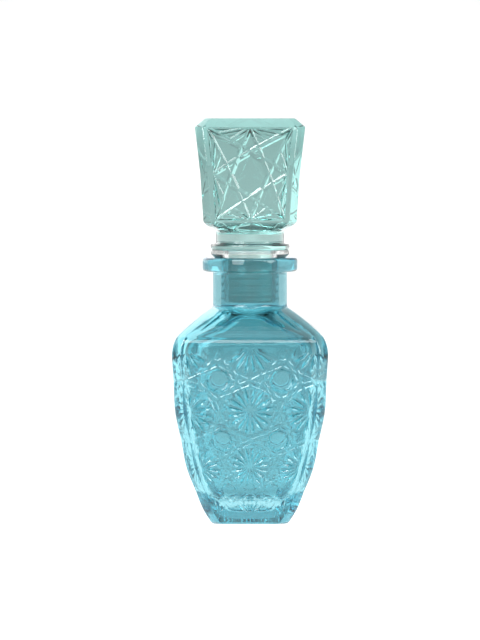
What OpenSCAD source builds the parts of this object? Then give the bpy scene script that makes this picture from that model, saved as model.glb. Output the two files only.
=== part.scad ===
// Stoppered perfume bottle: a square pressed-glass bottle, its glass stopper and the soft seal between them.
// Millimetres, +Z up, with the origin at the middle of the base and the front face towards -Y.

/* [Body] */
// Widest size of the body across its flats
body_w = 46.8; // [38:0.1:60]
// Height of the widest level above the table
widest_z = 50; // [40:0.1:65]
// Size of the base across its flats
base_w = 22.4; // [19:0.1:32]
// How much of the taper, on each side, comes as a late turn in just above the base
base_turn = 2.2; // [0:0.1:4]
// Width of the narrow face on each vertical corner, measured along a flat
corner_cut = 2.6; // [1.5:0.1:4.5]
// Size of the rounded edge under the base
base_edge = 0.7; // [0.4:0.1:1.5]

/* [Shoulder] */
// Height of the plain band from the widest level to the shoulder edge
band_h = 6.35; // [4:0.05:12]
// How far the band leans in by its top
band_lean = 1.5; // [0.5:0.05:3]
// Height of the sloping shoulder
shoulder_h = 8.5; // [6:0.1:14]
// How far the shoulder bulges past a straight slope
shoulder_bulge = 0.65; // [0:0.05:1.5]

/* [Neck and mouth] */
// Outside diameter of the neck
neck_d = 22.4; // [18:0.1:28]
// Height of the neck from the shoulder to the mouth ring
neck_h = 10.6; // [6:0.1:20]
// Glass wall of the neck, which sets the bore
neck_wall = 2.5; // [1.8:0.1:3]
// How far the mouth ring stands out from the neck
ring_out = 3.1; // [1.5:0.1:5]
// Height of the mouth ring
ring_h = 4.25; // [3:0.05:7]
// Radius of the mouth ring's edges
ring_edge = 0.9; // [0.3:0.1:1.4]
// Size of the bevel at the mouth of the bore
mouth_bevel = 0.4; // [0.2:0.05:0.8]

/* [Glass walls] */
// Wall of the body and shoulder
wall = 2.5; // [1.8:0.1:4]
// Thickness of the bottom
floor_t = 5; // [3:0.1:9]
// Radius of the vertical corners inside
inner_corner = 6; // [4:0.1:8]
// Depth of the dished hollow under the base
dish_depth = 0.6; // [0.2:0.1:1.2]
// Diameter of the dished hollow
dish_d = 15; // [8:0.5:17]

/* [Stopper] */
// Widest size of the head across its flats, near the top
head_w = 33.1; // [27:0.1:40]
// Size of the head across its flats, near its foot
head_foot_w = 28; // [23:0.1:34]
// Height of the whole head
head_h = 34.6; // [26:0.1:42]
// How late the head flares, where 1 is a straight taper
head_curve = 1.5; // [1:0.05:2.5]
// Width of the narrow face on each vertical corner of the head
head_cut = 2.3; // [1:0.1:4]
// How far the bevel round the top reaches in
head_bevel = 3.1; // [1:0.1:5]
// Height of the bevel round the top
head_bevel_h = 2.6; // [1:0.1:5]
// Height of the rounded foot of the head
foot_h = 4; // [2:0.1:6]
// Height of the round neck between head and collar
stopper_neck_h = 3.15; // [2:0.05:8]
// How far the collar stands out from the stopper's neck
collar_out = 1.6; // [0.8:0.1:3]
// Height of the collar
collar_h = 1.85; // [1.6:0.05:4]
// Radius of the collar's edges
collar_edge = 0.65; // [0.2:0.05:0.75]

/* [Seal] */
// How far the seal's flange reaches out past the bore
flange_lap = 3.2; // [2:0.1:4.5]
// Thickness of the seal's flange
flange_t = 2.3; // [1.2:0.1:4]
// How far the flange's underside slopes in from its lip to the mouth
flange_nose = 1.4; // [0.4:0.1:1.8]
// Length of the sleeve inside the bore
sleeve_l = 13.4; // [11:0.1:16]
// Wall of the sleeve at its foot
sleeve_wall = 0.9; // [0.6:0.05:1.5]
// How much the sleeve's radius shrinks towards its foot
sleeve_taper = 0.6; // [0.2:0.05:1.2]
// Number of soft fins round the sleeve
fin_count = 4; // [2:1:4]
// Depth of the first fin below the mouth
fin_start = 5.9; // [4:0.1:6]
// Spacing of the fins
fin_pitch = 2.1; // [1.6:0.1:2.3]
// How far a fin stands out from the top of the sleeve
fin_reach = 0.45; // [0.3:0.05:0.9]
// Height of a fin at its root
fin_root = 0.9; // [0.5:0.1:1.3]

/* [Clearances] */
// Radial gap between the fins and the bore
fin_gap = 0.05; // [0.03:0.01:0.1]
// Radial gap between the stopper's stub and the sleeve
turn_gap = 0.05; // [0.03:0.01:0.1]
// How far the stub's end stays inside the sleeve's foot
stub_short = 0.4; // [0.2:0.1:1.5]

/* [Hidden] */
$fn = 96;

edge_z = widest_z + band_h;
neck_z = edge_z + shoulder_h;
ring_z = neck_z + neck_h;
mouth_z = ring_z + ring_h;
collar_z = mouth_z + flange_t;
stopper_neck_z = collar_z + collar_h;
head_z = stopper_neck_z + stopper_neck_h;
top_z = head_z + head_h;

neck_r = neck_d / 2;
bore_r = neck_r - neck_wall;
ring_r = neck_r + ring_out;
edge_half = body_w / 2 - band_lean;
shoulder_top_half = neck_r + 0.2;

flange_r = bore_r + flange_lap;
flange_top_in = 0.25;
collar_r = flange_r - 0.05;
stopper_neck_r = collar_r - collar_out;
sleeve_top_r = bore_r - fin_gap - fin_reach;
sleeve_foot_r = sleeve_top_r - sleeve_taper;
stub_r = sleeve_foot_r - sleeve_wall - turn_gap;
sleeve_bore_r = stub_r + turn_gap;

// How far the outside of the shoulder drops, straight down, to reach the inside.
shoulder_slope = atan2(shoulder_h, edge_half - shoulder_top_half);
shoulder_drop = wall / cos(shoulder_slope);
cavity_top_z = neck_z - shoulder_drop;

// A dished hollow is the cap of a sphere that is this deep and this wide.
dish_r = (dish_d * dish_d / 4 + dish_depth * dish_depth) / (2 * dish_depth);

body_levels = 14;
shoulder_levels = 6;
head_levels = 8;
foot_levels = 6;
cavity_levels = 16;
corner_steps = 4;
overlap = 1;

// Half the width of the tapering body at height z, up to its widest level. It falls as the square
// of the way down, with a late turn in that falls as the eighth power.
function side_half(z) =
    let (t = max(0, 1 - z / widest_z))
    body_w / 2 - ((body_w - base_w) / 2 - base_turn) * pow(t, 2) - base_turn * pow(t, 8);

// Half the width of the plain band: it rolls over from upright to its lean.
function band_half(z) = body_w / 2 - band_lean * pow((z - widest_z) / band_h, 2.5);

// Half the width of the shoulder, a straight slope with a shallow bulge.
function shoulder_half(z) =
    let (s = min(1, (z - edge_z) / shoulder_h))
    edge_half + (shoulder_top_half - edge_half) * s + shoulder_bulge * 4 * s * (1 - s);

function outer_half(z) =
    z < widest_z ? side_half(z) : z < edge_z ? band_half(z) : shoulder_half(z);

// The inside follows the outside at one wall, and under the shoulder at the same wall.
function inner_half(z) = min(outer_half(z) - wall, outer_half(z + shoulder_drop));

// Half the width of the stopper's head at a height above its foot.
function head_half(z) =
    head_foot_w / 2
    + (head_w - head_foot_w) / 2 * pow((z - foot_h) / (head_h - foot_h - head_bevel_h), head_curve);

// A square with its corners cut, as one ring of eight points at height z.
function cut_square(half, cut, z) =
    let (e = half - cut)
    [
        [half, -e, z], [half, e, z], [e, half, z], [-e, half, z],
        [-half, e, z], [-half, -e, z], [-e, -half, z], [e, -half, z]
    ];

// A square with round corners, as one ring of points at height z.
function round_square(half, r, z) = [
    for (q = [0:3], i = [0:corner_steps])
        let (a = q * 90 + i * 90 / corner_steps, e = half - r, m = q * 90 + 45)
        [e * sign(cos(m)) + r * cos(a), e * sign(sin(m)) + r * sin(a), z]
];

// Points round an arc in the plane of a turned profile.
function arc(x, z, r, from, to) = [
    for (i = [0:corner_steps])
        let (a = from + (to - from) * i / corner_steps)
        [x + r * cos(a), z + r * sin(a)]
];

// Joins rings of equal length, lowest first, into one closed solid.
module loft(rings) {
    n = len(rings[0]);
    m = len(rings);
    sides = [
        for (j = [0:m - 2], i = [0:n - 1])
            let (a = j * n + i, b = j * n + (i + 1) % n)
            each [[a, a + n, b + n], [a, b + n, b]]
    ];
    bottom = [for (i = [0:n - 1]) i];
    top = [for (i = [n - 1:-1:0]) (m - 1) * n + i];
    polyhedron([for (r = rings) each r], concat([bottom], sides, [top]), convexity = 6);
}

// The outside of the body and shoulder, with a rounded edge under the base.
module body_outside() {
    base = [
        for (i = [0:2])
            let (a = 90 * i / 3, z = base_edge * (1 - cos(a)))
            cut_square(side_half(z) - base_edge * (1 - sin(a)), corner_cut, z)
    ];
    sides = [
        for (i = [0:body_levels])
            let (z = base_edge + (widest_z - base_edge) * i / body_levels)
            cut_square(side_half(z), corner_cut, z)
    ];
    band = [
        for (i = [1:shoulder_levels])
            let (z = widest_z + band_h * i / shoulder_levels)
            cut_square(band_half(z), corner_cut, z)
    ];
    shoulder = [
        for (i = [1:shoulder_levels])
            let (s = i / shoulder_levels, z = edge_z + shoulder_h * s)
            cut_square(shoulder_half(z), corner_cut * (1 + s * s / 2), z)
    ];
    loft(concat(base, sides, band, shoulder));
}

// The space inside: soft corners, a rounded bottom, and a ceiling that closes in to the bore.
module body_inside() {
    rings = [
        for (i = [0:cavity_levels])
            let (
                s = i / cavity_levels,
                z = floor_t + (cavity_top_z - floor_t) * s,
                tuck = i == 0 ? wall : i == 1 ? wall / 4 : 0,
                half = max(bore_r, inner_half(z) - tuck)
            )
            round_square(half, min(half, inner_corner + (bore_r - inner_corner) * pow(s, 12)), z)
    ];
    loft(rings);
}

// The solid neck with its rounded mouth ring, before the bore is cut.
module neck_outside() {
    e = ring_edge;
    rotate_extrude()
        polygon(concat(
            [[0, neck_z - shoulder_h / 3], [neck_r, neck_z - shoulder_h / 3], [neck_r, ring_z]],
            arc(ring_r - e, ring_z + e, e, -90, 0),
            arc(ring_r - e, mouth_z - e, e, 0, 90),
            [[0, mouth_z]]
        ));
}

// The bore, with a bevel at the mouth.
module neck_bore() {
    translate([0, 0, cavity_top_z - overlap])
        cylinder(r = bore_r, h = mouth_z - cavity_top_z + 2 * overlap);
    rotate_extrude()
        polygon([
            [0, mouth_z - mouth_bevel],
            [bore_r, mouth_z - mouth_bevel],
            [bore_r + mouth_bevel, mouth_z],
            [bore_r + mouth_bevel, mouth_z + overlap],
            [0, mouth_z + overlap]
        ]);
}

module bottle() {
    color("#5fb0c4")
        difference() {
            union() {
                body_outside();
                neck_outside();
            }
            body_inside();
            neck_bore();
            translate([0, 0, dish_depth - dish_r])
                sphere(r = dish_r);
        }
}

// The stopper's square head: a foot that sweeps out of the neck in an S, a flare, and a bevelled top.
module head() {
    flare_h = head_h - foot_h - head_bevel_h;
    reach = head_foot_w / 2 - stopper_neck_r;
    foot = [
        for (i = [0:foot_levels])
            let (s = i / foot_levels, sweep = s * s * (3 - 2 * s))
            cut_square(
                stopper_neck_r + reach * sweep,
                head_cut * (1.5 - sweep / 2),
                head_z + foot_h * s
            )
    ];
    flare = [
        for (i = [1:head_levels])
            let (z = foot_h + flare_h * i / head_levels)
            cut_square(head_half(z), head_cut, head_z + z)
    ];
    bevel = [cut_square(head_w / 2 - head_bevel, head_cut * 0.8, top_z)];
    loft(concat(foot, flare, bevel));
}

// The turned part of the stopper: stub, collar and neck, reaching up into the head.
module stopper_shank() {
    e = collar_edge;
    foot_z = mouth_z - sleeve_l + stub_short;
    bevel = sleeve_wall / 2;
    rotate_extrude()
        polygon(concat(
            [
                [0, foot_z],
                [stub_r - bevel, foot_z],
                [stub_r, foot_z + bevel],
                [stub_r, collar_z]
            ],
            arc(collar_r - e, collar_z + e, e, -90, 0),
            arc(collar_r - e, stopper_neck_z - e, e, 0, 90),
            [
                [stopper_neck_r, stopper_neck_z],
                [stopper_neck_r, head_z],
                [stopper_neck_r - overlap, head_z + overlap],
                [0, head_z + overlap]
            ]
        ));
}

module stopper() {
    color("#a4c6c0") {
        head();
        stopper_shank();
    }
}

// The outside radius of the plain sleeve at a depth below the mouth.
function sleeve_r(depth) = sleeve_top_r - sleeve_taper * depth / sleeve_l;

// One soft fin, from its lower root to its upper root.
function fin(depth) = [
    [sleeve_r(depth + fin_root / 2), mouth_z - depth - fin_root / 2],
    [bore_r - fin_gap, mouth_z - depth],
    [sleeve_r(depth - fin_root / 2), mouth_z - depth + fin_root / 2]
];

module stopper_seal() {
    foot_z = mouth_z - sleeve_l;
    fins = [for (i = [fin_count - 1:-1:0]) each fin(fin_start + i * fin_pitch)];
    color("#dfe4dc")
        rotate_extrude()
            polygon(concat(
                [[sleeve_bore_r, foot_z], [sleeve_foot_r, foot_z]],
                fins,
                [
                    [sleeve_top_r, mouth_z],
                    [flange_r - flange_nose, mouth_z],
                    [flange_r, mouth_z + flange_t / 2],
                    [flange_r - flange_top_in, collar_z],
                    [sleeve_bore_r, collar_z]
                ]
            ));
}

bottle();
stopper();
stopper_seal();
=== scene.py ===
"""Stoppered perfume bottle in pressed glass, built around a measured frame.

Three pieces: the bottle, its glass stopper and the soft seal between them. Metres, +Z up, with the
origin at the middle of the base and the front face towards -Y.
"""

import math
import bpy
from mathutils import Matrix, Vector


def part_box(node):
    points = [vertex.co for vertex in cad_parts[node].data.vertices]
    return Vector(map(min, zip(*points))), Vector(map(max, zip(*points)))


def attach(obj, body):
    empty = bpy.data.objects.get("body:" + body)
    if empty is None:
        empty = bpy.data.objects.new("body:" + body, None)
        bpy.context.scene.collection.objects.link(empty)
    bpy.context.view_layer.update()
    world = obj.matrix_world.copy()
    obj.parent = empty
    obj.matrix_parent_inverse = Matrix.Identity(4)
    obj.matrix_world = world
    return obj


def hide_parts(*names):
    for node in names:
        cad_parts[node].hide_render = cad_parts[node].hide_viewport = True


bl_info = {
    "name": "Stoppered Perfume Bottle",
    "version": (1, 0, 0),
    "blender": (4, 5, 0),
    "location": "View3D > Sidebar > Perfume Bottle",
    "description": "Builds a pressed-glass perfume bottle, its stopper and its seal",
    "category": "Add Mesh",
}

import bmesh
import bpy
import numpy as np
from bpy.props import FloatProperty, FloatVectorProperty, PointerProperty
from bpy.types import Operator, Panel, PropertyGroup

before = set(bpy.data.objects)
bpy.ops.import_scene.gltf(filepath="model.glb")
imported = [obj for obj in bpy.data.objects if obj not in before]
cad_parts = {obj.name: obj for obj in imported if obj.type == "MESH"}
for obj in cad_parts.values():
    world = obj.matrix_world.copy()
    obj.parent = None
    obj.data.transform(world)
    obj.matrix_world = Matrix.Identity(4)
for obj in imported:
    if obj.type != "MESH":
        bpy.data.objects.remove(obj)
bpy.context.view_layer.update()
BOTTLE_LOW, BOTTLE_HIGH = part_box("bottle")
STOPPER_LOW, STOPPER_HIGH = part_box("stopper")
SEAL_LOW, SEAL_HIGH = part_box("stopper_seal")

# The bottle's ridges stand 22.5 degrees apart, and each star has a petal in every gap.
PETAL_TURN = math.radians(22.5)
TAN, COS = math.tan(PETAL_TURN), math.cos(PETAL_TURN)
SIDES = ((1, 0), (0, 1), (-1, 0), (0, -1))

# Rows of cells in the bottle's pattern, which is two cells wide, and soft fins on the seal.
CELLS_DOWN, FINS = 3, 4
# Quads across a corner strip of the bottle and of the stopper's head, and up each plain zone.
STRIP_QUADS = 8
BASE_ROWS, BAND_ROWS, SHOULDER_ROWS, NECK_ROWS, FOOT_ROWS = 4, 8, 16, 5, 14
# Rings in the bore and in the space under it, down to its rounded bottom.
BORE_RINGS, CAVITY_RINGS = 8, 34
# Quads round an arc, along a petal and round the seal.
ARC_STEPS, PETAL_STEPS, SEAL_QUADS = 6, 8, 120
# How far the corner strips of the stopper's head bow out.
HEAD_BULGE = 0.00012
# Points nearer than this are one point.
MERGE = 1e-7
# Space between nodes in the node editor.
NODE_SPACING = 220


def hex_colour(code):
    """An sRGB hex colour as linear red, green and blue."""
    srgb = np.array([int(code[i : i + 2], 16) for i in (1, 3, 5)]) / 255
    linear = np.where(srgb <= 0.04045, srgb / 12.92, ((srgb + 0.055) / 1.055) ** 2.4)
    return tuple(float(c) for c in linear)


def length(name, description, default):
    return FloatProperty(
        name=name, description=description, default=default, unit="LENGTH", precision=5
    )


def ratio(name, description, default):
    return FloatProperty(name=name, description=description, default=default, precision=3)


def colour(name, description, code):
    return FloatVectorProperty(
        name=name, description=description, default=hex_colour(code), subtype="COLOR", min=0, max=1
    )


class BottleSizes(PropertyGroup):
    """Sizes of the bottle: its profile, its walls and its neck."""

    body_width: length("Body width", "Widest size across the flats", BOTTLE_HIGH.x - BOTTLE_LOW.x)
    widest_height: length("Widest height", "Height of the widest level", 0.050)
    base_width: length("Base width", "Size of the base across its flats", 0.0224)
    base_turn: length("Base turn", "How much of the taper comes late, near the base", 0.0022)
    base_edge: length("Base edge", "Radius of the edge under the base", 0.0007)
    corner_cut: length("Corner cut", "Width of a corner strip, along a flat", 0.0026)
    corner_bulge: length("Corner bulge", "How far a corner strip bows out", 0.00018)
    band_height: length("Band height", "Height of the plain band above the widest level", 0.00635)
    band_lean: length("Band lean", "How far the band leans in by its top", 0.0015)
    shoulder_height: length("Shoulder height", "Height of the sloping shoulder", 0.0085)
    shoulder_bulge: length("Shoulder bulge", "How far the shoulder bows out", 0.00065)
    neck_radius: length("Neck radius", "Outside radius of the neck", 0.0112)
    ring_out: length("Ring reach", "How far the mouth ring stands out from the neck", 0.0031)
    ring_height: length("Ring height", "Height of the mouth ring", 0.00425)
    ring_edge: length("Ring edge", "Radius of the mouth ring's edges", 0.0009)
    mouth_bevel: length("Mouth bevel", "Bevel where the bore meets the mouth", 0.0004)
    neck_wall: length("Neck wall", "Glass wall of the neck", 0.0025)
    wall: length("Wall", "Glass wall of the body", 0.0025)
    floor: length("Bottom", "Thickness of the bottom", 0.005)
    bowl: length("Bowl", "Radius from the inside walls to the bottom", 0.007)
    dish_radius: length("Dish radius", "Radius of the hollow under the base", 0.0075)
    dish_depth: length("Dish depth", "Depth of the hollow under the base", 0.0006)
    crease: length("Crease", "Width of the rounding beside a sharp edge", 0.0002)
    flow: length("Flow", "Height of the slow waves that moulding leaves inside", 0.00002)


class PatternSizes(PropertyGroup):
    """Sizes of the pressed stars and buttons on the bottle."""

    top_row: length("Top row", "Height of the top row of stars", 0.0533)
    row_height: length("Row height", "Height of the top row of cells", 0.01925)
    row_shrink: length("Row shrink", "How much shorter each lower row is", 0.0025)
    margin: length("Margin", "Plain strip between the pattern and a face's edge", 0.0012)
    sink: length("Sink", "How far the pattern lies below the faces' edges", 0.0003)
    scallop: length("Scallop", "How far the edges draw in between rows of stars", 0.00035)
    notch: length("Notch", "Extra draw of the edges at the level of the buttons", 0.00025)
    notch_height: ratio("Notch height", "Half height of that notch, in cells", 0.04)
    centre: ratio("Star centre", "Radius of a star's plain centre, in cells", 0.085)
    petal_width: ratio("Petal width", "Greatest half width of a petal, in cells", 0.046)
    petal_slope: ratio("Petal slope", "Slope of a petal's two sides", 0.6)
    facet_slope: ratio("Facet slope", "Slope of the small facets between stars", 0.45)
    facet_reach: ratio("Facet reach", "How far a facet's slope runs in, in cells", 0.030)
    button_slope: ratio("Button slope", "Slope of the bevel round a button", 0.9)
    button_radius: ratio("Button radius", "Radius of a button's flat, in cells", 0.155)
    land: ratio("Land", "Width of the rounding beside a ridge, in cells", 0.016)


class StopperSizes(PropertyGroup):
    """Sizes of the stopper."""

    head_width: length("Head width", "Widest size across the flats", STOPPER_HIGH.x - STOPPER_LOW.x)
    head_foot_width: length("Head foot width", "Size near the foot of the head", 0.028)
    head_height: length("Head height", "Height of the head", 0.0346)
    head_curve: ratio("Head curve", "How late the head flares", 1.5)
    corner_cut: length("Corner cut", "Width of a corner strip, along a flat", 0.0023)
    bevel: length("Bevel", "How far the bevel round the top reaches in", 0.0031)
    bevel_height: length("Bevel height", "Height of the bevel round the top", 0.0026)
    foot_height: length("Foot height", "Height of the S that joins head and neck", 0.004)
    crease: length("Crease", "Width of the rounding beside a sharp edge", 0.0002)
    neck_radius: length("Neck radius", "Radius of the round neck", 0.01025)
    collar_height: length("Collar height", "Height of the collar", 0.00185)
    collar_edge: length("Collar edge", "Radius of the collar's edges", 0.00065)
    collar_radius: length("Collar radius", "Radius of the collar", 0.01185)
    stub_radius: length("Stub radius", "Radius of the stub inside the seal", 0.00665)
    margin: length("Margin", "Plain strip between the star and a face's edge", 0.0012)
    star_slope: ratio("Star slope", "Slope beside the star's lines", 0.5)
    star_reach: ratio("Star reach", "How far that slope runs in, in half faces", 0.05)
    land: ratio("Land", "Width of the rounding beside a line, in half faces", 0.012)


class SealSizes(PropertyGroup):
    """Sizes of the seal."""

    sleeve_radius: length("Sleeve radius", "Outside radius at the top of the sleeve", 0.0082)
    taper: length("Taper", "How much the sleeve's radius shrinks towards its foot", 0.0006)
    bore_radius: length("Bore radius", "Inside radius of the sleeve", 0.0067)
    fin_radius: length("Fin radius", "Radius of the fins' tips", 0.00865)
    fin_start: length("Fin start", "Depth of the first fin below the mouth", 0.0059)
    fin_pitch: length("Fin pitch", "Spacing of the fins", 0.0021)
    fin_root: length("Fin root", "Height of a fin at its root", 0.0009)
    nose: length("Nose", "How far the flange's underside slopes in", 0.0014)


class Finishes(PropertyGroup):
    """Colours of the pieces."""

    bottle_stain: colour("Bottle stain", "What white keeps through its skins", "#95C7CE")
    bottle_glass: colour("Bottle glass", "What white keeps through 1 cm of its glass", "#B9E9EF")
    stopper_stain: colour("Stopper stain", "What white keeps through its skins", "#E6F0ED")
    stopper_glass: colour("Stopper glass", "What white keeps through 1 cm of its glass", "#C8E1E0")
    seal: colour("Seal", "Milky polyethylene", "#FFFEFC")
    floor: colour("Floor", "White opal sheet that the bottle stands on", "#FAFAFA")


class PerfumeBottle(PropertyGroup):
    """Everything that can be changed on the perfume bottle."""

    bottle: PointerProperty(type=BottleSizes)
    pattern: PointerProperty(type=PatternSizes)
    stopper: PointerProperty(type=StopperSizes)
    seal: PointerProperty(type=SealSizes)
    finishes: PointerProperty(type=Finishes)


# ---------------------------------------------------------------- shapes


def smooth_step(t):
    """0 below 0, 1 above 1, and 3t^2 - 2t^3 between."""
    t = np.clip(t, 0, 1)
    return t * t * (3 - 2 * t)


def arc(x, z, radius, start, end):
    """Points (radius, height) round an arc, from one angle in degrees to the other."""
    a = np.radians(np.linspace(start, end, ARC_STEPS + 1))
    return np.column_stack([x + radius * np.cos(a), z + radius * np.sin(a)])


def bow(first, control, last, steps=ARC_STEPS):
    """Points along the parabola that leaves first towards control and arrives at last from it."""
    t = np.linspace(0, 1, steps + 1)[:, None]
    first, control, last = (np.array(p) for p in (first, control, last))
    return (1 - t) ** 2 * first + 2 * t * (1 - t) * control + t**2 * last


def four_sides(along, out, z):
    """Points on all four faces, from the place along a face, the distance out and the height."""
    return [np.stack([along * x + out * y, along * y - out * x, z], -1) for x, y in SIDES]


def quads(grid, ring=False):
    """The quads of a grid of points, closed from its last column to its first if it is a ring."""
    if ring:
        grid = np.concatenate([grid, grid[:, :1]], axis=1)
    corners = [grid[:-1, :-1], grid[:-1, 1:], grid[1:, 1:], grid[1:, :-1]]
    return np.stack(corners, 2).reshape(-1, 4, 3)


def fan(centre, points):
    """Triangles from a centre to each pair of neighbours on a ring of points."""
    return np.stack([np.broadcast_to(centre, points.shape), points, np.roll(points, -1, 0)], 1)


def strip_points(half, cut, bulge, crease):
    """Places along and out of the points of a corner strip, from one face's edge to the next."""
    half, edge = np.atleast_1d(half)[:, None], np.atleast_1d(half - cut)[:, None]
    t = np.linspace(0, 1, STRIP_QUADS + 1) + 0 * half
    t[:, 1:2] = crease / (half - edge)
    t[:, -2:-1] = 1 - t[:, 1:2]
    bowed = bulge * 4 * t * (1 - t)
    return edge * (1 - t) + half * t + bowed, half * (1 - t) + edge * t + bowed


def square_rings(z, half, cut, margin, columns, bulge, crease):
    """Rings of a square with cut corners, one at each height z.

    A face's points stand at the given columns, as shares of half - cut - margin, at its two edges
    and a crease inside them. A corner strip runs straight from face to face, bowed out by bulge.
    """
    z, half = np.atleast_1d(z), np.atleast_1d(half)
    cut = np.broadcast_to(cut, z.shape)
    edge = (half - cut)[:, None]
    across, away = strip_points(half, cut, bulge, crease)
    face = (edge - margin) * columns
    along = np.hstack([-edge, crease - edge, face, edge - crease, across[:, :-1]])
    out = np.hstack([np.broadcast_to(half[:, None], (len(z), len(columns) + 3)), away[:, :-1]])
    return np.concatenate(four_sides(along, out, z[:, None] + 0 * along), axis=1)


def corner_strips(z, low, half, cut, margin, bulge, crease):
    """The strips round all four corners, from one face's pattern to the next.

    They leave the pattern at the half width low, and stand at half from the faces' edges on.
    """
    low = low[:, None]
    across, away = strip_points(half, cut, bulge, crease)
    edge, half, start = (half - cut)[:, None], half[:, None], low - cut - margin
    along = np.hstack([start, edge - crease, across, half, low])
    out = np.hstack([low, half, away, edge - crease, start])
    return [quads(strip) for strip in four_sides(along, out, z[:, None] + 0 * along)]


def round_off(rings, amount):
    """Moves each ring towards the circle of its half width, by its own amount from 0 to 1."""
    flat = rings[..., :2]
    reach = np.linalg.norm(flat, axis=2, keepdims=True)
    half = np.abs(flat).max(axis=(1, 2))[:, None, None]
    circle = flat / reach * half
    share = np.asarray(amount)[:, None, None]
    rings[..., :2] = flat * (1 - share) + circle * share
    return rings


def turned_rings(profile, angles):
    """Rings of a turned shape: each (radius, height) of the profile, at every angle."""
    radius, z = profile[:, :1], profile[:, 1:]
    return np.stack([radius * np.cos(angles), radius * np.sin(angles), z + 0 * angles], -1)


def capped(lower, upper, bottom, top):
    """Two stacks of rings, closed by fans to the axis at the first ring and at the last."""
    caps = [fan(np.array([0, 0, bottom]), lower[0]), fan(np.array([0, 0, top]), upper[-1])]
    return [quads(lower, ring=True), quads(upper, ring=True), *caps]


def ring_angles(ring):
    """The angle of every point of a ring."""
    return np.arctan2(ring[:, 1], ring[:, 0])


def sharpen(mesh):
    """Turns flat-shaded faces into smooth ones with sharp edges all round, which look the same."""
    smooth = np.empty(len(mesh.polygons), bool)
    corners = np.empty(len(mesh.polygons), int)
    edges = np.empty(len(mesh.loops), int)
    mesh.polygons.foreach_get("use_smooth", smooth)
    mesh.polygons.foreach_get("loop_total", corners)
    mesh.loops.foreach_get("edge_index", edges)
    sharp = np.zeros(len(mesh.edges), bool)
    sharp[edges[np.repeat(~smooth, corners)]] = True
    mesh.edges.foreach_set("use_edge_sharp", sharp)
    mesh.polygons.foreach_set("use_smooth", np.ones(len(smooth), bool))


def closed_skin(name, smooth_faces, flat_faces=(), merge=MERGE):
    """One closed surface from groups of separate faces, joined where their corners meet.

    The smooth groups are shaded smooth and the flat ones face by face.
    """
    groups = [*smooth_faces, *flat_faces]
    points, faces, shading, count = [], [], [], 0
    for i, group in enumerate(groups):
        n, k = group.shape[:2]
        points.append(group.reshape(-1, 3))
        faces += np.arange(count, count + n * k).reshape(n, k).tolist()
        shading += [i < len(smooth_faces)] * n
        count += n * k
    mesh = bpy.data.meshes.new(name)
    mesh.from_pydata(np.concatenate(points), [], faces)
    mesh.polygons.foreach_set("use_smooth", shading)
    work = bmesh.new()
    work.from_mesh(mesh)
    bmesh.ops.remove_doubles(work, verts=work.verts, dist=merge)
    bmesh.ops.recalc_face_normals(work, faces=work.faces)
    if not all(edge.is_manifold for edge in work.edges):
        raise ValueError(f"{name} isn't closed")
    work.to_mesh(mesh)
    work.free()
    sharpen(mesh)
    piece = bpy.data.objects.new(name, mesh)
    bpy.context.scene.collection.objects.link(piece)
    return piece


# ---------------------------------------------------------------- pressed patterns
# A pattern is drawn flat, as faces whose corners are (u, v, depth). All its ridges have depth 0.


def inset(polygon, distance):
    """A convex polygon with every side moved in by the distance."""
    step = np.roll(polygon, -1, 0) - polygon
    normal = np.stack([-step[:, 1], step[:, 0]], 1) / np.linalg.norm(step, axis=1, keepdims=True)
    before = np.roll(normal, 1, 0)
    return polygon + distance * (normal + before) / (1 + (normal * before).sum(1, keepdims=True))


def pit(polygon, land, reach, slope):
    """A shallow pit in a polygon, as smooth faces and flat ones.

    Its rim is rounded over the land at half the slope, its sides go down at the slope as far in as
    the reach, and its bottom is flat.
    """
    polygon = np.array(polygon, float)
    levels = ((0, 0), (land, land * slope / 2), (reach, (reach - land / 2) * slope))
    loops = [np.column_stack([inset(polygon, d), np.full(len(polygon), h)]) for d, h in levels]
    grid = np.stack(loops)
    inside = [quads(grid[1:], ring=True), fan(loops[2].mean(0), loops[2])]
    return [quads(grid[:2], ring=True)], inside


def petal(start, inner, outer_ridge, outer_next, p):
    """A leaf-shaped flute between two ridges that leave a star's centre 22.5 degrees apart.

    Its half width grows from nothing at the plain centre as sin(pi t^1.4), and falls to nothing at
    the tip. Its sides meet in a valley whose depth is the half width times the slope.
    """
    t = np.linspace(0, 1, PETAL_STEPS + 1)
    half_turn = PETAL_TURN / 2
    tip = min(outer_ridge, outer_next) / math.cos(half_turn)
    along = inner + (tip - inner) * t
    width = p.petal_width * np.sin(math.pi * t**1.4)
    width[[0, -1]] = 0
    land = np.minimum(p.land, width / 2)

    def polar(radius, side, depth, turn):
        c, n = math.cos(turn), math.sin(turn)
        return np.column_stack([radius * c - side * n, radius * n + side * c, depth + 0 * radius])

    middle = start + half_turn
    valley = polar(along, 0 * t, width * p.petal_slope, middle)
    smooth, flat = [], []
    for sign, turn, outer in ((-1, start, outer_ridge), (1, start + PETAL_TURN, outer_next)):
        ridge = polar(inner + (outer - inner) * t, 0 * t, 0 * t, turn)
        rim = polar(along, sign * width, 0 * t, middle)
        brink = polar(along, sign * (width - land), land * p.petal_slope / 2, middle)
        smooth += [quads(np.stack([ridge, rim, brink]))]
        flat += [quads(np.stack([brink, valley]))]
        smooth += [np.stack([np.zeros(3), ridge[0], valley[0]])[None]]
    return smooth, flat


def mirrored(groups, middle, swap=True):
    """Groups of faces with their mirror images about the diagonal and both middle lines."""
    if swap:
        groups = groups + [g[..., [1, 0, 2]] for g in groups]
    for axis in (0, 1):
        sign, shift = np.ones(3), np.zeros(3)
        sign[axis], shift[axis] = -1, 2 * middle
        groups = groups + [g * sign + shift for g in groups]
    return groups


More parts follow.
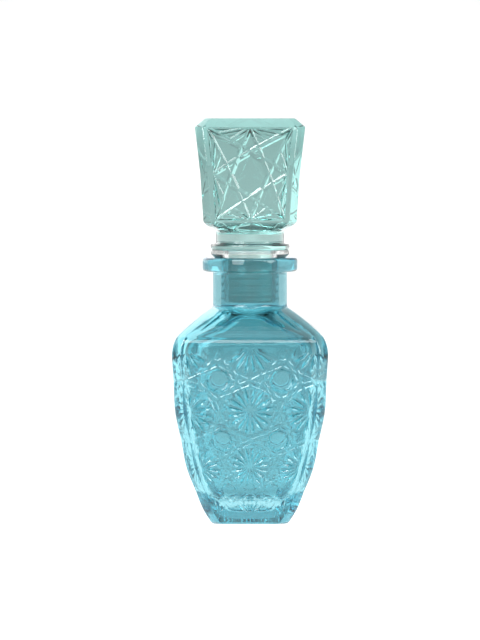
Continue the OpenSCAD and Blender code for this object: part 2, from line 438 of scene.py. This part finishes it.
def star_cell(p):
    """One cell of the bottle's pattern: a quarter of a star at each corner and a button between.

    All ridges are straight lines at 22.5 degrees to the cell. Those from the stars part the petals,
    bound a star as an octagon and bound the middle as another. Those from the middles of the sides
    cross them and bound the button.
    """
    cross = TAN / (1 + TAN * TAN)
    star_axis, star_mid, star_diagonal = (TAN, 0), (cross, cross * TAN), (TAN / (1 + TAN),) * 2
    side = (0.5, 0)
    x = 0.5 / (1 + TAN * TAN)
    meet = (x, TAN * x)
    y = TAN * 0.5 / (1 - TAN * TAN)
    outer = (0.5 - TAN * y, y)
    waist = (0.5, TAN * 0.5)
    ring_corner, ring_side = (0.5 / (1 + TAN),) * 2, (0.5, 0.5 - TAN * 0.5)
    tip_radius = TAN * COS / math.cos(PETAL_TURN / 2)
    tip = lambda turn: (tip_radius * math.cos(turn), tip_radius * math.sin(turn))
    first, second = tip(PETAL_TURN / 2), tip(PETAL_TURN * 1.5)
    groove = (0.5 - p.notch_height, 0)
    # The smaller facets have shorter slopes, so that each keeps a flat bottom.
    reach, dart_reach, kite_reach = p.facet_reach, p.facet_reach * 0.7, p.facet_reach * 0.8

    smooth, flat = [], []
    for start, near, far in ((0, TAN, TAN * COS), (PETAL_TURN, TAN * COS, TAN)):
        a, b = petal(start, p.centre, near, far, p)
        smooth, flat = smooth + a, flat + b
    facets = [
        ([star_axis, groove, side, meet, star_mid, first], reach),
        ([star_mid, meet, outer, star_diagonal, second], reach),
        ([meet, waist, outer], reach / 2),
        ([waist, ring_side, ring_corner, outer], reach),
    ]
    for polygon, inward in facets:
        a, b = pit(polygon, p.land, inward, p.facet_slope)
        smooth, flat = smooth + a, flat + b
    smooth, flat = mirrored(smooth, 0.5), mirrored(flat, 0.5)

    flip = lambda point: (1 - point[0], point[1])
    dart = [star_diagonal, outer, ring_corner, outer[::-1]]
    a, b = pit(dart, p.land, dart_reach, p.facet_slope)
    smooth, flat = smooth + mirrored(a, 0.5, swap=False), flat + mirrored(b, 0.5, swap=False)
    a, b = pit([side, flip(meet), waist, meet], p.land, kite_reach, p.facet_slope)
    for move in (lambda g: g, lambda g: g * [1, -1, 1] + [0, 1, 0]):
        for last in (lambda g: g, lambda g: g[..., [1, 0, 2]]):
            smooth, flat = smooth + [last(move(g)) for g in a], flat + [last(move(g)) for g in b]
    a, b = button(0.5 - ring_side[1], p)
    return smooth + a, flat + b


def button(radius, p):
    """A sunk round button in the middle of a cell, with a bevel out to the ring of eight ridges."""

    def loop(count, reach, depth):
        turn = np.arange(count) * 2 * math.pi / count
        x, y = 0.5 + reach * np.cos(turn), 0.5 + reach * np.sin(turn)
        return np.column_stack([x, y, depth + 0 * turn])

    ridges, steps = 8, 4
    count, middle = ridges * steps, steps // 2
    rise = radius * COS - p.button_radius
    rim = loop(ridges, radius, 0)
    brink = loop(ridges, radius - p.land / COS, p.land * p.button_slope / 2)
    lip = loop(count, p.button_radius + p.land / 2, rise * p.button_slope)
    flat = loop(count, p.button_radius - p.land, (rise + p.land / 2) * p.button_slope)
    corner = brink[((np.arange(count) + middle) // steps) % ridges]
    bevel = np.stack([corner, lip, np.roll(lip, -1, 0)], 1)
    gores = np.stack([brink, lip[middle::steps], np.roll(brink, -1, 0)], 1)
    smooth = [quads(np.stack([rim, brink]), ring=True), quads(np.stack([lip, flat]), ring=True)]
    return smooth, [bevel, gores, fan(flat.mean(0), flat)]


def head_star(s):
    """The star on one face of the stopper, from -1 to 1 both ways.

    Eight straight ridges join each corner of the face to the middles of the two far sides. They
    cross as an eight-pointed star round an eight-sided flat. Beside each middle, a fan of three
    flutes fills the triangle that is left.
    """
    third = 1 / 3
    corner, middle, cross, inner, node = (1, 1), (1, 0), (0.6, 0.2), (third, third), (0.5, 0)
    cuts = [tuple(np.array(cross) + (np.array(corner) - cross) * t) for t in (third, 2 * third)]
    ends = [corner, *cuts[::-1], cross]
    small_reach, wide_reach = s.star_reach * 0.8, s.star_reach * 1.4
    smooth, flat = [], []
    for polygon in ([node, cross, inner], *([middle, a, b] for a, b in zip(ends, ends[1:]))):
        a, b = pit(polygon, s.land, small_reach, s.star_slope)
        smooth, flat = smooth + a, flat + b
    smooth, flat = mirrored(smooth, 0), mirrored(flat, 0)
    dart = [inner, cross, *cuts, corner, *(c[::-1] for c in cuts[::-1]), cross[::-1]]
    a, b = pit(dart, s.land, s.star_reach, s.star_slope)
    smooth, flat = smooth + mirrored(a, 0, swap=False), flat + mirrored(b, 0, swap=False)
    kite = np.array([node, (0.6, -0.2), middle, cross])
    a, b = pit(kite, s.land, s.star_reach, s.star_slope)
    eight = []
    for x, y in SIDES:
        spin = np.array([[x, y, 0], [-y, x, 0], [0, 0, 1]])
        smooth, flat = smooth + [g @ spin for g in a], flat + [g @ spin for g in b]
        eight += [(x / 2, y / 2), ((x - y) * third, (x + y) * third)]
    a, b = pit(eight, s.land, wide_reach, s.star_slope)
    return smooth + a, flat + b


def edge_places(faces, axis, value):
    """The places of a pattern's points along the line where the other coordinate has this value."""
    points = np.concatenate([f.reshape(-1, 3) for f in faces])
    on_line = points[np.abs(points[:, 1 - axis] - value) < 1e-9, axis]
    return np.unique(np.round(on_line, 9))


# ---------------------------------------------------------------- bottle


def bottle_levels(s):
    """Heights of the shoulder's edge, the neck's foot, the ring's underside and the mouth."""
    edge = s.widest_height + s.band_height
    mouth = BOTTLE_HIGH.z
    return edge, edge + s.shoulder_height, mouth - s.ring_height, mouth


def outer_half(z, s):
    """Half the width of the body at each height.

    Below the widest level it falls as the square of the way down, with a late turn in that falls as
    the eighth power. The band above leans in as the power 2.5. The shoulder is a straight slope to
    the neck with a shallow bulge, four times s(1 - s).
    """
    edge, foot, _, _ = bottle_levels(s)
    down = np.clip(1 - z / s.widest_height, 0, 1)
    taper = (s.body_width - s.base_width) / 2 - s.base_turn
    side = s.body_width / 2 - taper * down**2 - s.base_turn * down**8
    up = np.clip((z - s.widest_height) / s.band_height, 0, 1)
    band = side - s.band_lean * up**2.5
    climb = np.clip((z - edge) / (foot - edge), 0, 1)
    brim = s.body_width / 2 - s.band_lean
    slope = (s.neck_radius - brim) * climb + s.shoulder_bulge * 4 * climb * (1 - climb)
    return np.where(z < edge, band, brim + slope)


def row_height(v, p):
    """Height of place v down the pattern: each row of cells is shorter than the one above."""
    return p.top_row - p.row_height * v + p.row_shrink * v * (v - 1) / 2


def pattern_half(v, s, p):
    """Half the width across the pattern's ridges.

    They sink within half a cell of the top and rise again in the last 0.3 of one at the bottom.
    """
    sunk = smooth_step(v / 0.5) * smooth_step((CELLS_DOWN - v) / 0.3)
    return outer_half(row_height(v, p), s) - p.sink * sunk


def edge_half(v, s, p):
    """Half the width at the faces' edges: drawn in as sin squared between stars, with V notches."""
    notch = np.clip(1 - np.abs(v % 1 - 0.5) / p.notch_height, 0, 1)
    return outer_half(row_height(v, p), s) - p.scallop * np.sin(math.pi * v) ** 2 - p.notch * notch


def body_points(u, v, depth, s, p):
    """Pattern points laid on the front face, as places along it, out from it and up."""
    half = pattern_half(v, s, p)
    pitch = half - s.corner_cut - p.margin
    return u * pitch, half - depth * pitch, row_height(v, p)


def pressed_faces(s, p):
    """The pattern on all four faces, and the strips between them.

    In the top and bottom rows the pattern stops along its own ridges, and beyond them it is plain.
    """
    smooth, flat = [], []
    for groups, kept in zip(star_cell(p), (smooth, flat)):
        for g in groups:
            tiles = np.concatenate([g + [u, v, 0] for u in (-1, 0) for v in range(CELLS_DOWN)])
            a, v = np.abs(tiles[..., 0] - np.round(tiles[..., 0])), tiles[..., 1]
            zigzag = np.minimum(TAN * a, (0.5 - a) / TAN)
            tiles[..., 2] = np.where((v > zigzag) & (v < CELLS_DOWN - zigzag), tiles[..., 2], 0)
            plain = (tiles[..., 2] == 0).all(1)
            kept.append(tiles[~plain])
            smooth.append(tiles[plain])
    columns, rows = edge_places(smooth, 0, 0), edge_places(smooth, 1, 1)
    lay = lambda g: four_sides(*body_points(g[..., 0], g[..., 1], g[..., 2], s, p))
    smooth, flat = ([side for g in groups for side in lay(g)] for groups in (smooth, flat))
    z, low, half = row_height(rows, p), pattern_half(rows, s, p), edge_half(rows, s, p)
    smooth += corner_strips(z, low, half, s.corner_cut, p.margin, s.corner_bulge, s.crease)
    return smooth, flat, columns


def plain_rings(z, half, cut, columns, s, p):
    """Square rings of the bottle's plain zones, whose points meet the pattern's columns."""
    return square_rings(z, half, cut, p.margin, columns, s.corner_bulge, s.crease)


def base_rings(columns, s, p):
    """The flat under the base, the quarter round beside it and the sides up to the pattern."""
    a = np.radians([0, 0, 30, 60])
    z = s.base_edge * (1 - np.cos(a))
    tuck = s.base_edge * (1 - np.sin(a))
    tuck[0] += s.base_edge / 2
    above = np.linspace(s.base_edge, row_height(CELLS_DOWN, p), BASE_ROWS + 1)
    z, tuck = np.append(z, above), np.append(tuck, 0 * above)
    return plain_rings(z, outer_half(z, s) - tuck, s.corner_cut, columns, s, p)


def shoulder_rings(columns, s, p):
    """The plain band and the shoulder, whose corner strips widen towards the round neck."""
    edge, foot, _, _ = bottle_levels(s)
    c, spread = s.crease, 0.9
    band = np.append(np.linspace(p.top_row, edge - c, BAND_ROWS + 1), edge)
    t = np.append(0 * band, np.linspace(c / (foot - edge), 1, SHOULDER_ROWS + 1))
    z = np.append(band, edge + (foot - edge) * t[len(band) :])
    return plain_rings(z, outer_half(z, s), s.corner_cut * (1 + spread * t * t), columns, s, p)


def neck_profile(s):
    """Profile of the neck and mouth ring, from the fillet on the shoulder to the bore."""
    _, foot, ring, mouth = bottle_levels(s)
    r, ring_r, bore_r = s.neck_radius, s.neck_radius + s.ring_out, s.neck_radius - s.neck_wall
    e, m = s.ring_edge, s.mouth_bevel
    # Fillets at the neck's foot and under the ring, and short flats beside rounded edges.
    step, fillet, small, lead = 0.0002, 0.0009, 0.0004, 0.0003
    straight = np.linspace(foot + 0.0022, ring - fillet, NECK_ROWS + 1)
    return np.concatenate(
        [
            bow((r + step, foot + step), (r, foot + step), (r, foot + fillet)),
            [(r, z) for z in straight],
            bow((r, ring - small), (r, ring), (r + small, ring), 3),
            [(ring_r - e - small, ring)],
            arc(ring_r - e, ring + e, e, -90, 0),
            arc(ring_r - e, mouth - e, e, 0, 90),
            [(ring_r - e - small, mouth), (bore_r + m + lead, mouth)],
            bow((bore_r + m, mouth), (bore_r, mouth), (bore_r, mouth - m), 4),
            [(bore_r, mouth - m - small)],
        ]
    )


def cavity_rings(s, angles):
    """The bore and the space inside, from the mouth down to the bottom.

    Each ring is a superellipse, whose power grows over 9 mm below the bore from 2, a circle, to 7,
    a square with soft corners. Slow sine waves along and round it, calm near both ends, stand for
    the flow marks that moulding leaves.
    """
    edge, foot, _, mouth = bottle_levels(s)
    bore_r = s.neck_radius - s.neck_wall
    slope = math.atan2(s.shoulder_height, outer_half(edge, s) - s.neck_radius)
    drop = s.wall / math.cos(slope)
    inner = lambda z: np.maximum(
        bore_r, np.minimum(outer_half(z, s) - s.wall, outer_half(z + drop, s))
    )
    top, tuck = foot - drop, s.bowl
    bore = np.linspace(mouth - s.mouth_bevel - 0.002, top + 0.001, BORE_RINGS)
    body = np.linspace(top, s.floor + tuck, CAVITY_RINGS)
    a = np.radians([20, 40, 60, 75, 90])
    turn = s.floor + tuck * (1 - np.sin(a))
    # The rings on the bottom, as shares of the one round it.
    shares = np.array([0.7, 0.4, 0.15])
    z = np.concatenate([bore, body, turn, 0 * shares + s.floor])
    half = inner(z)
    half[: len(bore)] = bore_r
    half[-len(shares) - len(a) : -len(shares)] -= tuck * (1 - np.cos(a))
    half[-len(shares) :] = half[-len(shares) - 1] * shares
    power = (2 + 5 * smooth_step((top + 0.0005 - z) / 0.009))[:, None]
    c, n = np.abs(np.cos(angles)), np.abs(np.sin(angles))
    reach = half[:, None] / (c**power + n**power) ** (1 / power)
    # The waves in radians per metre of height, and the height over which they start and end.
    fine, coarse, fade = 520, 260, 0.01
    z = z[:, None]
    calm = smooth_step((top - z) / fade) * smooth_step((z - s.floor) / fade)
    wave = np.sin(z * fine + 2 * np.sin(3 * angles)) + np.sin(5 * angles + z * coarse)
    reach = reach + s.flow * calm * wave
    return np.stack([reach * np.cos(angles), reach * np.sin(angles), z + 0 * angles], -1)


def make_bottle(s, p):
    """The bottle as one closed skin: under the base, up the outside, in at the mouth and down."""
    smooth, flat, columns = pressed_faces(s, p)
    base, shoulder = base_rings(columns, s, p), shoulder_rings(columns, s, p)
    under, over = ring_angles(base[0]), ring_angles(shoulder[-1])
    # Rings of the dish under the base, as shares of its radius. The last is on the flat round it.
    t = np.array([0.25, 0.5, 0.75, 0.92, 1, 1.06])
    dish = np.column_stack([s.dish_radius * t, s.dish_depth * np.clip(1 - t * t, 0, 1)])
    lower = np.concatenate([turned_rings(dish, under), base])
    upper = np.concatenate([shoulder, turned_rings(neck_profile(s), over), cavity_rings(s, over)])
    smooth += capped(lower, upper, s.dish_depth, s.floor)
    return closed_skin("bottle_glass", smooth, flat)


# ---------------------------------------------------------------- stopper


def stopper_levels(s):
    """Heights of the collar's underside, its top, the head's foot, the face's foot and its top."""
    collar, foot = SEAL_HIGH.z, STOPPER_HIGH.z - s.head_height
    face = (foot + s.foot_height, STOPPER_HIGH.z - s.bevel_height)
    return collar, collar + s.collar_height, foot, *face


def head_half(z, s):
    """Half the width of the patterned part of the head, which flares as a power of the height."""
    _, _, _, low, high = stopper_levels(s)
    k = np.clip((z - low) / (high - low), 0, 1)
    return s.head_foot_width / 2 + (s.head_width - s.head_foot_width) / 2 * k**s.head_curve


def head_faces(s):
    """The star on all four faces of the head, and the strips between them."""
    _, _, _, low, high = stopper_levels(s)
    height = lambda v: low + (high - low) * (v + 1) / 2
    smooth, flat = head_star(s)
    columns, rows = edge_places(smooth, 0, 1), edge_places(smooth, 1, 1)

    def lay(g):
        z = height(g[..., 1])
        half = head_half(z, s)
        pitch = half - s.corner_cut - s.margin
        return four_sides(g[..., 0] * pitch, half - g[..., 2] * pitch, z)

    smooth, flat = ([side for g in groups for side in lay(g)] for groups in (smooth, flat))
    z = height(rows)
    half = head_half(z, s)
    smooth += corner_strips(z, half, half, s.corner_cut, s.margin, HEAD_BULGE, s.crease)
    return smooth, flat, columns


def head_rings(columns, s):
    """Rings of the S at the head's foot, and of the bevel and the flat on its top."""
    _, _, low, _, face_top = stopper_levels(s)
    bulge, crease = HEAD_BULGE, s.crease
    t = np.linspace(0, 1, FOOT_ROWS + 1)
    half = s.neck_radius + (s.head_foot_width / 2 - s.neck_radius) * smooth_step(t)
    cut = s.corner_cut * (1.5 - 0.5 * smooth_step(t))
    foot = square_rings(low + s.foot_height * t, half, cut, s.margin, columns, bulge, crease)
    foot = round_off(foot, 1 - smooth_step(t / 0.6))
    # Rings up the bevel, as shares of it, and then two on the flat.
    t = np.array([0, 0.06, 0.3, 0.5, 0.7, 0.94, 1.0])
    z = np.append(face_top + s.bevel_height * t, [STOPPER_HIGH.z] * 2)
    reach = np.append(s.bevel * t, [s.bevel + 0.0003, s.bevel + 0.0008])
    cut = s.corner_cut * (1 - 0.2 * np.minimum(1, reach / s.bevel))
    bevel = square_rings(z, s.head_width / 2 - reach, cut, s.margin, columns, bulge, crease)
    return foot, bevel


def stopper_profile(s):
    """Profile of the stub, the collar and the neck, from the stub's end to the head."""
    collar, collar_top, low, _, _ = stopper_levels(s)
    e, r, neck, foot = s.collar_edge, s.stub_radius, s.neck_radius, STOPPER_LOW.z
    # The radius of the stub's end and of the neck's fillet, and the flats beside rounded edges.
    small, flat, thin = 0.0005, 0.0003, 0.00002
    stub = np.linspace(foot + 0.001, collar - flat, 8)
    straight = np.linspace(collar_top + 0.0009, low - flat, NECK_ROWS)
    return np.concatenate(
        [
            [(r * 0.5, foot), (r - 0.0006, foot)],
            arc(r - small, foot + small, small, -80, 0),
            [(r, z) for z in stub],
            [(r, collar - thin), (r + flat, collar), (s.collar_radius - e - flat, collar)],
            arc(s.collar_radius - e, collar + e, e, -90, 0),
            arc(s.collar_radius - e, collar_top - e, e, 0, 75),
            bow((neck + small, collar_top), (neck, collar_top), (neck, collar_top + small), 4),
            [(neck, z) for z in straight],
        ]
    )


def make_stopper(s):
    """The stopper as one closed skin, from the stub's end up to the flat top."""
    smooth, flat, columns = head_faces(s)
    foot, bevel = head_rings(columns, s)
    lower = np.concatenate([turned_rings(stopper_profile(s), ring_angles(foot[0])), foot])
    # Two more rings on the flat top, drawn in to these shares of the last.
    shares = np.array([0.7, 0.35])[:, None, None] * [1, 1, 0] + [0, 0, 1]
    upper = np.concatenate([bevel, bevel[-1] * shares])
    smooth += capped(lower, upper, STOPPER_LOW.z, STOPPER_HIGH.z)
    return closed_skin("stopper_glass", smooth, flat)


# ---------------------------------------------------------------- seal


def seal_profile(s):
    """Outline of the seal: up the finned sleeve, round the flange and down the inside."""
    foot, mouth, top, r = SEAL_LOW.z, BOTTLE_HIGH.z, SEAL_HIGH.z, s.bore_radius
    depth, half = mouth - foot, s.fin_root / 2
    sleeve = lambda d: s.sleeve_radius - s.taper * d / depth
    # Rounded edges and flats, and a fin's tip as steps in from its reach and up from its level.
    e, h, proud = 0.0002, 0.0001, 0.00003
    tip = ((0.00008, -0.00014), (0, 0.00002), (0.00006, 0.00016))
    fins = []
    for i in reversed(range(FINS)):
        d = s.fin_start + i * s.fin_pitch
        low, high = sleeve(d + half), sleeve(d - half)
        fins += [(low - h / 10, mouth - d - half - e), (low + proud, mouth - d - half)]
        fins += [(s.fin_radius - x, mouth - d + z) for x, z in tip]
        fins += [(high + proud, mouth - d + half)]
    lip_r, lip_z = SEAL_HIGH.x, mouth + (top - mouth) / 2
    nose = ((lip_r - s.nose, mouth), (lip_r - s.nose * 0.75, mouth + h), (lip_r - e, lip_z - e))
    brow = ((lip_r - e - h, top - e), (lip_r - e - h, top), (lip_r - 3 * e, top))
    return np.concatenate(
        [
            [(r + h, foot), (sleeve(depth) - e, foot), (sleeve(depth), foot + e)],
            fins,
            [(sleeve(d), mouth - d) for d in (0.003, 0.0002)],
            [(sleeve(0) + e, mouth)],
            bow(*nose, 4),
            bow((lip_r - h, lip_z - h), (lip_r, lip_z), (lip_r - 0.8 * h, lip_z + e), 2),
            [(lip_r - 2.5 * h, top - e - h)],
            bow(*brow, 2),
            [(r + 4 * e, top), (r + e, top), (r, top - e)],
            [(r, z) for z in np.linspace(top - 0.002, foot + e + h, 6)],
        ]
    )


def make_seal(s):
    """The seal as a closed hollow ring."""
    angles = np.linspace(0, 2 * math.pi, SEAL_QUADS, endpoint=False)
    rings = turned_rings(seal_profile(s), angles)
    return closed_skin("seal_sleeve", [quads(np.concatenate([rings, rings[:1]]), ring=True)])


# ---------------------------------------------------------------- materials


def add_node(owner, kind, settings=(), links=()):
    """Adds a node to a material or world, with settings and its inputs linked to other outputs."""
    nodes = owner.node_tree.nodes
    node = nodes.new(kind)
    node.location = (NODE_SPACING * len(nodes), 0)
    for key, value in dict(settings).items():
        if hasattr(node, str(key)):
            setattr(node, key, value)
        else:
            node.inputs[key].default_value = value
    for socket, source in dict(links).items():
        owner.node_tree.links.new(source, node.inputs[socket])
    return node


def ramp(owner, value, start, end, low, high):
    """A node's output that goes smoothly from low to high as the value goes from start to end."""
    settings = {"interpolation_type": "SMOOTHSTEP"}
    settings |= {"From Min": start, "From Max": end, "To Min": low, "To Max": high}
    return add_node(owner, "ShaderNodeMapRange", settings, {"Value": value}).outputs["Result"]


def maths(owner, operation, *values):
    """A maths node's output."""
    node = add_node(owner, "ShaderNodeMath", {"operation": operation}, enumerate(values))
    return node.outputs["Value"]


def new_material(name):
    """A material with nothing in it yet but the place of each point, as a node's output."""
    m = bpy.data.materials.new(name)
    m.use_nodes = True
    m.node_tree.nodes.clear()
    return m, add_node(m, "ShaderNodeTexCoord").outputs["Object"]


def pressed_glass(name, stain, tint):
    """Soda-lime glass pressed in an iron mould, fire-polished and faintly stained on its skins.

    The stain keeps its colour on thin walls, and the tint in the glass, what is left of white
    after a centimetre, deepens thick corners and edges. The skin has faint ripples, 4 to 6 mm
    across, from the mould, which make the highlights swim a little.
    """
    m, place = new_material(name)
    wavy = {"Scale": 220, "Detail": 1.5, "Roughness": 0.4}
    ripple = add_node(m, "ShaderNodeTexNoise", wavy, {"Vector": place})
    faint = {"Strength": 0.25, "Distance": 0.00008}
    bump = add_node(m, "ShaderNodeBump", faint, {"Height": ripple.outputs["Fac"]})
    clear = {"Base Color": (*stain, 1), "Roughness": 0, "IOR": 1.5, "Transmission Weight": 1}
    glass = add_node(m, "ShaderNodeBsdfPrincipled", clear, {"Normal": bump.outputs["Normal"]})
    per_cm = {"Color": (*tint, 1), "Density": 100}
    body = add_node(m, "ShaderNodeVolumeAbsorption", per_cm)
    ends = {"Surface": glass.outputs["BSDF"], "Volume": body.outputs["Volume"]}
    add_node(m, "ShaderNodeOutputMaterial", (), ends)
    return m


def moulded_polyethylene(tint):
    """Low-density polyethylene, injection-moulded: thin, milky and see-through with a soft blur.

    A tenth of the light spreads in the skin as on white wax, which greys what is seen through it.
    """
    m, place = new_material("ldpe_moulded_milky")
    cloud = add_node(m, "ShaderNodeTexNoise", {"Scale": 400, "Detail": 1}, {"Vector": place})
    blur = {"To Min": 0.2, "To Max": 0.26}
    haze = add_node(m, "ShaderNodeMapRange", blur, {"Value": cloud.outputs["Fac"]})
    milky = {"Base Color": (*tint, 1), "IOR": 1.2, "Transmission Weight": 0.9}
    wax = add_node(m, "ShaderNodeBsdfPrincipled", milky, {"Roughness": haze.outputs["Result"]})
    add_node(m, "ShaderNodeOutputMaterial", (), {"Surface": wax.outputs["BSDF"]})
    return m


def light_table(tint, glow):
    """Opal acrylic sheet lit from below: matt and white, so that it also lights glass feet.

    Its lamps lie along a lane that runs front to back, so it dims from 15 cm to a metre to both
    sides, and one more lamp stands under the middle.
    """
    m, place = new_material("opal_acrylic_sheet_backlit")
    split = add_node(m, "ShaderNodeSeparateXYZ", (), {0: place})
    away = add_node(m, "ShaderNodeVectorMath", {"operation": "LENGTH"}, {0: place})
    lane = ramp(m, maths(m, "ABSOLUTE", split.outputs["X"]), 0.15, 1.0, glow, 0.6 * glow)
    lamp = ramp(m, away.outputs["Value"], 0.15, 0.9, 0.9 * glow, 0)
    mottle = add_node(m, "ShaderNodeTexNoise", {"Scale": 3, "Detail": 2}, {"Vector": place})
    pale, dark = ((*(share * c for c in tint), 1) for share in (0.32, 0.3))
    tones = {"data_type": "RGBA", 6: pale, 7: dark}
    tone = add_node(m, "ShaderNodeMix", tones, {0: mottle.outputs["Fac"]})
    matt = {"Roughness": 0.9, "Specular IOR Level": 0.1, "Emission Color": (*tint, 1)}
    light = {"Base Color": tone.outputs[2], "Emission Strength": maths(m, "ADD", lane, lamp)}
    sheet = add_node(m, "ShaderNodeBsdfPrincipled", matt, light)
    add_node(m, "ShaderNodeOutputMaterial", (), {"Surface": sheet.outputs["BSDF"]})
    return m


# ---------------------------------------------------------------- stage


# Each sun's name, the direction it comes from, its strength and its width in degrees.
SUNS = (
    ("key", (-0.6, -0.8, 0.9), 2.8, 34),
    ("fill", (0.9, -0.7, 0.4), 2.0, 34),
    ("high fill", (0.3, -0.6, 0.75), 1.6, 34),
    ("low key", (-0.5, -0.9, 0.25), 1.4, 34),
    ("front", (-0.22, -0.8, 0.8), 0.8, 24),
    ("back", (-0.6, 0.8, 0.5), 1.0, 60),
    ("top", (0.0, 0.1, 1.0), 0.4, 50),
)


def make_floor():
    """A square floor that reaches 60 m to every side, a centimetre thick."""
    half, deep = 60, 0.01
    corners = [(-half, -half), (half, -half), (half, half), (-half, half)]
    top, bottom = (np.array([(x, y, z) for x, y in corners], float) for z in (0, -deep))
    box = [quads(np.stack([bottom, top]), ring=True), top[None], bottom[None, ::-1]]
    return closed_skin("floor", [], box, merge=deep / 10)


def aim(thing, place, target):
    """Puts a light or camera at a place, looking at the target."""
    thing.location = place
    direction = np.array(target) - np.array(place)
    flat = math.hypot(direction[0], direction[1])
    tilt, turn = math.atan2(direction[2], flat), math.atan2(direction[1], direction[0])
    thing.rotation_euler = (math.pi / 2 + tilt, 0, turn - math.pi / 2)


def soft_sun(name, direction, strength, angle):
    """A distant round soft light, angle degrees across, that comes from a direction."""
    light = bpy.data.lights.new(name, "SUN")
    light.energy, light.angle = strength, math.radians(angle)
    lamp = bpy.data.objects.new(name, light)
    bpy.context.scene.collection.objects.link(lamp)
    aim(lamp, direction, (0, 0, 0))


def soft_sky(middle, side, zenith):
    """A white surround: bright in front and behind, dimmer to both sides and towards the top.

    Its strength goes by the direction that the light comes from, whatever the camera does.
    """
    world = bpy.data.worlds.new("studio")
    bpy.context.scene.world = world
    world.use_nodes = True
    world.node_tree.nodes.clear()
    place = add_node(world, "ShaderNodeTexCoord").outputs["Generated"]
    split = add_node(world, "ShaderNodeSeparateXYZ", (), {0: place})
    width = ramp(world, maths(world, "ABSOLUTE", split.outputs["X"]), 0.15, 0.7, middle, side)
    rise = ramp(world, split.outputs["Z"], 0.03, 0.8, 1, zenith)
    glow = {"Strength": maths(world, "MULTIPLY", width, rise)}
    sky = add_node(world, "ShaderNodeBackground", {"Color": (1, 1, 1, 1)}, glow)
    add_node(world, "ShaderNodeOutputWorld", (), {"Surface": sky.outputs["Background"]})


def make_camera():
    """A long lens four metres off, just above the level of the bottle."""
    data = bpy.data.cameras.new("camera")
    data.lens, data.sensor_width, data.sensor_fit = 1000, 36, "HORIZONTAL"
    camera = bpy.data.objects.new("camera", data)
    bpy.context.scene.collection.objects.link(camera)
    aim(camera, place=(-0.003, -4.0, 0.18), target=(-0.003, 0, 0.0609))
    bpy.context.scene.camera = camera


# ---------------------------------------------------------------- operators


def dress(piece, material, body, node):
    """Gives a piece its material and its body, and hides the CAD node that it stands for."""
    piece.data.materials.append(material)
    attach(piece, body)
    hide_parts(node)


class BOTTLE_OT_add(Operator):
    """Adds the pressed-glass bottle"""

    bl_idname = "perfume.add_bottle"
    bl_label = "Add Bottle"
    bl_options = {"REGISTER", "UNDO"}

    def execute(self, context):
        settings = context.scene.perfume_bottle
        look = settings.finishes
        glass = pressed_glass("soda_lime_glass_blue_pressed", look.bottle_stain, look.bottle_glass)
        bottle = make_bottle(settings.bottle, settings.pattern)
        dress(bottle, glass, "bottle", "bottle")
        return {"FINISHED"}


class STOPPER_OT_add(Operator):
    """Adds the pressed-glass stopper"""

    bl_idname = "perfume.add_stopper"
    bl_label = "Add Stopper"
    bl_options = {"REGISTER", "UNDO"}

    def execute(self, context):
        settings = context.scene.perfume_bottle
        look = settings.finishes
        glass = pressed_glass(
            "soda_lime_glass_pale_pressed", look.stopper_stain, look.stopper_glass
        )
        dress(make_stopper(settings.stopper), glass, "stopper", "stopper")
        return {"FINISHED"}


class SEAL_OT_add(Operator):
    """Adds the soft finned seal"""

    bl_idname = "perfume.add_seal"
    bl_label = "Add Seal"
    bl_options = {"REGISTER", "UNDO"}

    def execute(self, context):
        settings = context.scene.perfume_bottle
        wax = moulded_polyethylene(settings.finishes.seal)
        dress(make_seal(settings.seal), wax, "seal", "stopper_seal")
        return {"FINISHED"}


class STAGE_OT_add(Operator):
    """Adds the floor, the lights and the camera"""

    bl_idname = "perfume.add_stage"
    bl_label = "Add Stage"
    bl_options = {"REGISTER", "UNDO"}

    def execute(self, context):
        settings = context.scene.perfume_bottle
        floor = make_floor()
        floor.data.materials.append(light_table(settings.finishes.floor, glow=0.63))
        soft_sky(middle=1.08, side=0.85, zenith=0.38)
        for name, direction, strength, angle in SUNS:
            soft_sun(name, direction, strength, angle)
        make_camera()
        scene = context.scene
        scene.view_settings.view_transform = "Standard"
        scene.cycles.max_bounces = 24
        scene.cycles.transmission_bounces = 24
        scene.cycles.glossy_bounces = 12
        return {"FINISHED"}


class BOTTLE_PT_panel(Panel):
    """The perfume bottle's buttons and sizes"""

    bl_idname = "BOTTLE_PT_panel"
    bl_label = "Perfume Bottle"
    bl_space_type = "VIEW_3D"
    bl_region_type = "UI"
    bl_category = "Perfume Bottle"

    def draw(self, context):
        settings = context.scene.perfume_bottle
        for operator in ("add_bottle", "add_stopper", "add_seal", "add_stage"):
            self.layout.operator(f"perfume.{operator}")
        for name in ("bottle", "pattern", "stopper", "seal", "finishes"):
            group = getattr(settings, name)
            box = self.layout.box()
            box.label(text=name.capitalize())
            for key in group.__annotations__:
                box.prop(group, key)


CLASSES = (
    BottleSizes,
    PatternSizes,
    StopperSizes,
    SealSizes,
    Finishes,
    PerfumeBottle,
    BOTTLE_OT_add,
    STOPPER_OT_add,
    SEAL_OT_add,
    STAGE_OT_add,
    BOTTLE_PT_panel,
)


def register():
    for cls in CLASSES:
        bpy.utils.register_class(cls)
    bpy.types.Scene.perfume_bottle = PointerProperty(type=PerfumeBottle)


def unregister():
    del bpy.types.Scene.perfume_bottle
    for cls in reversed(CLASSES):
        bpy.utils.unregister_class(cls)


def main():
    register()
    bpy.ops.perfume.add_bottle()
    bpy.ops.perfume.add_stopper()
    bpy.ops.perfume.add_seal()
    bpy.ops.perfume.add_stage()


if __name__ == "__main__":
    main()
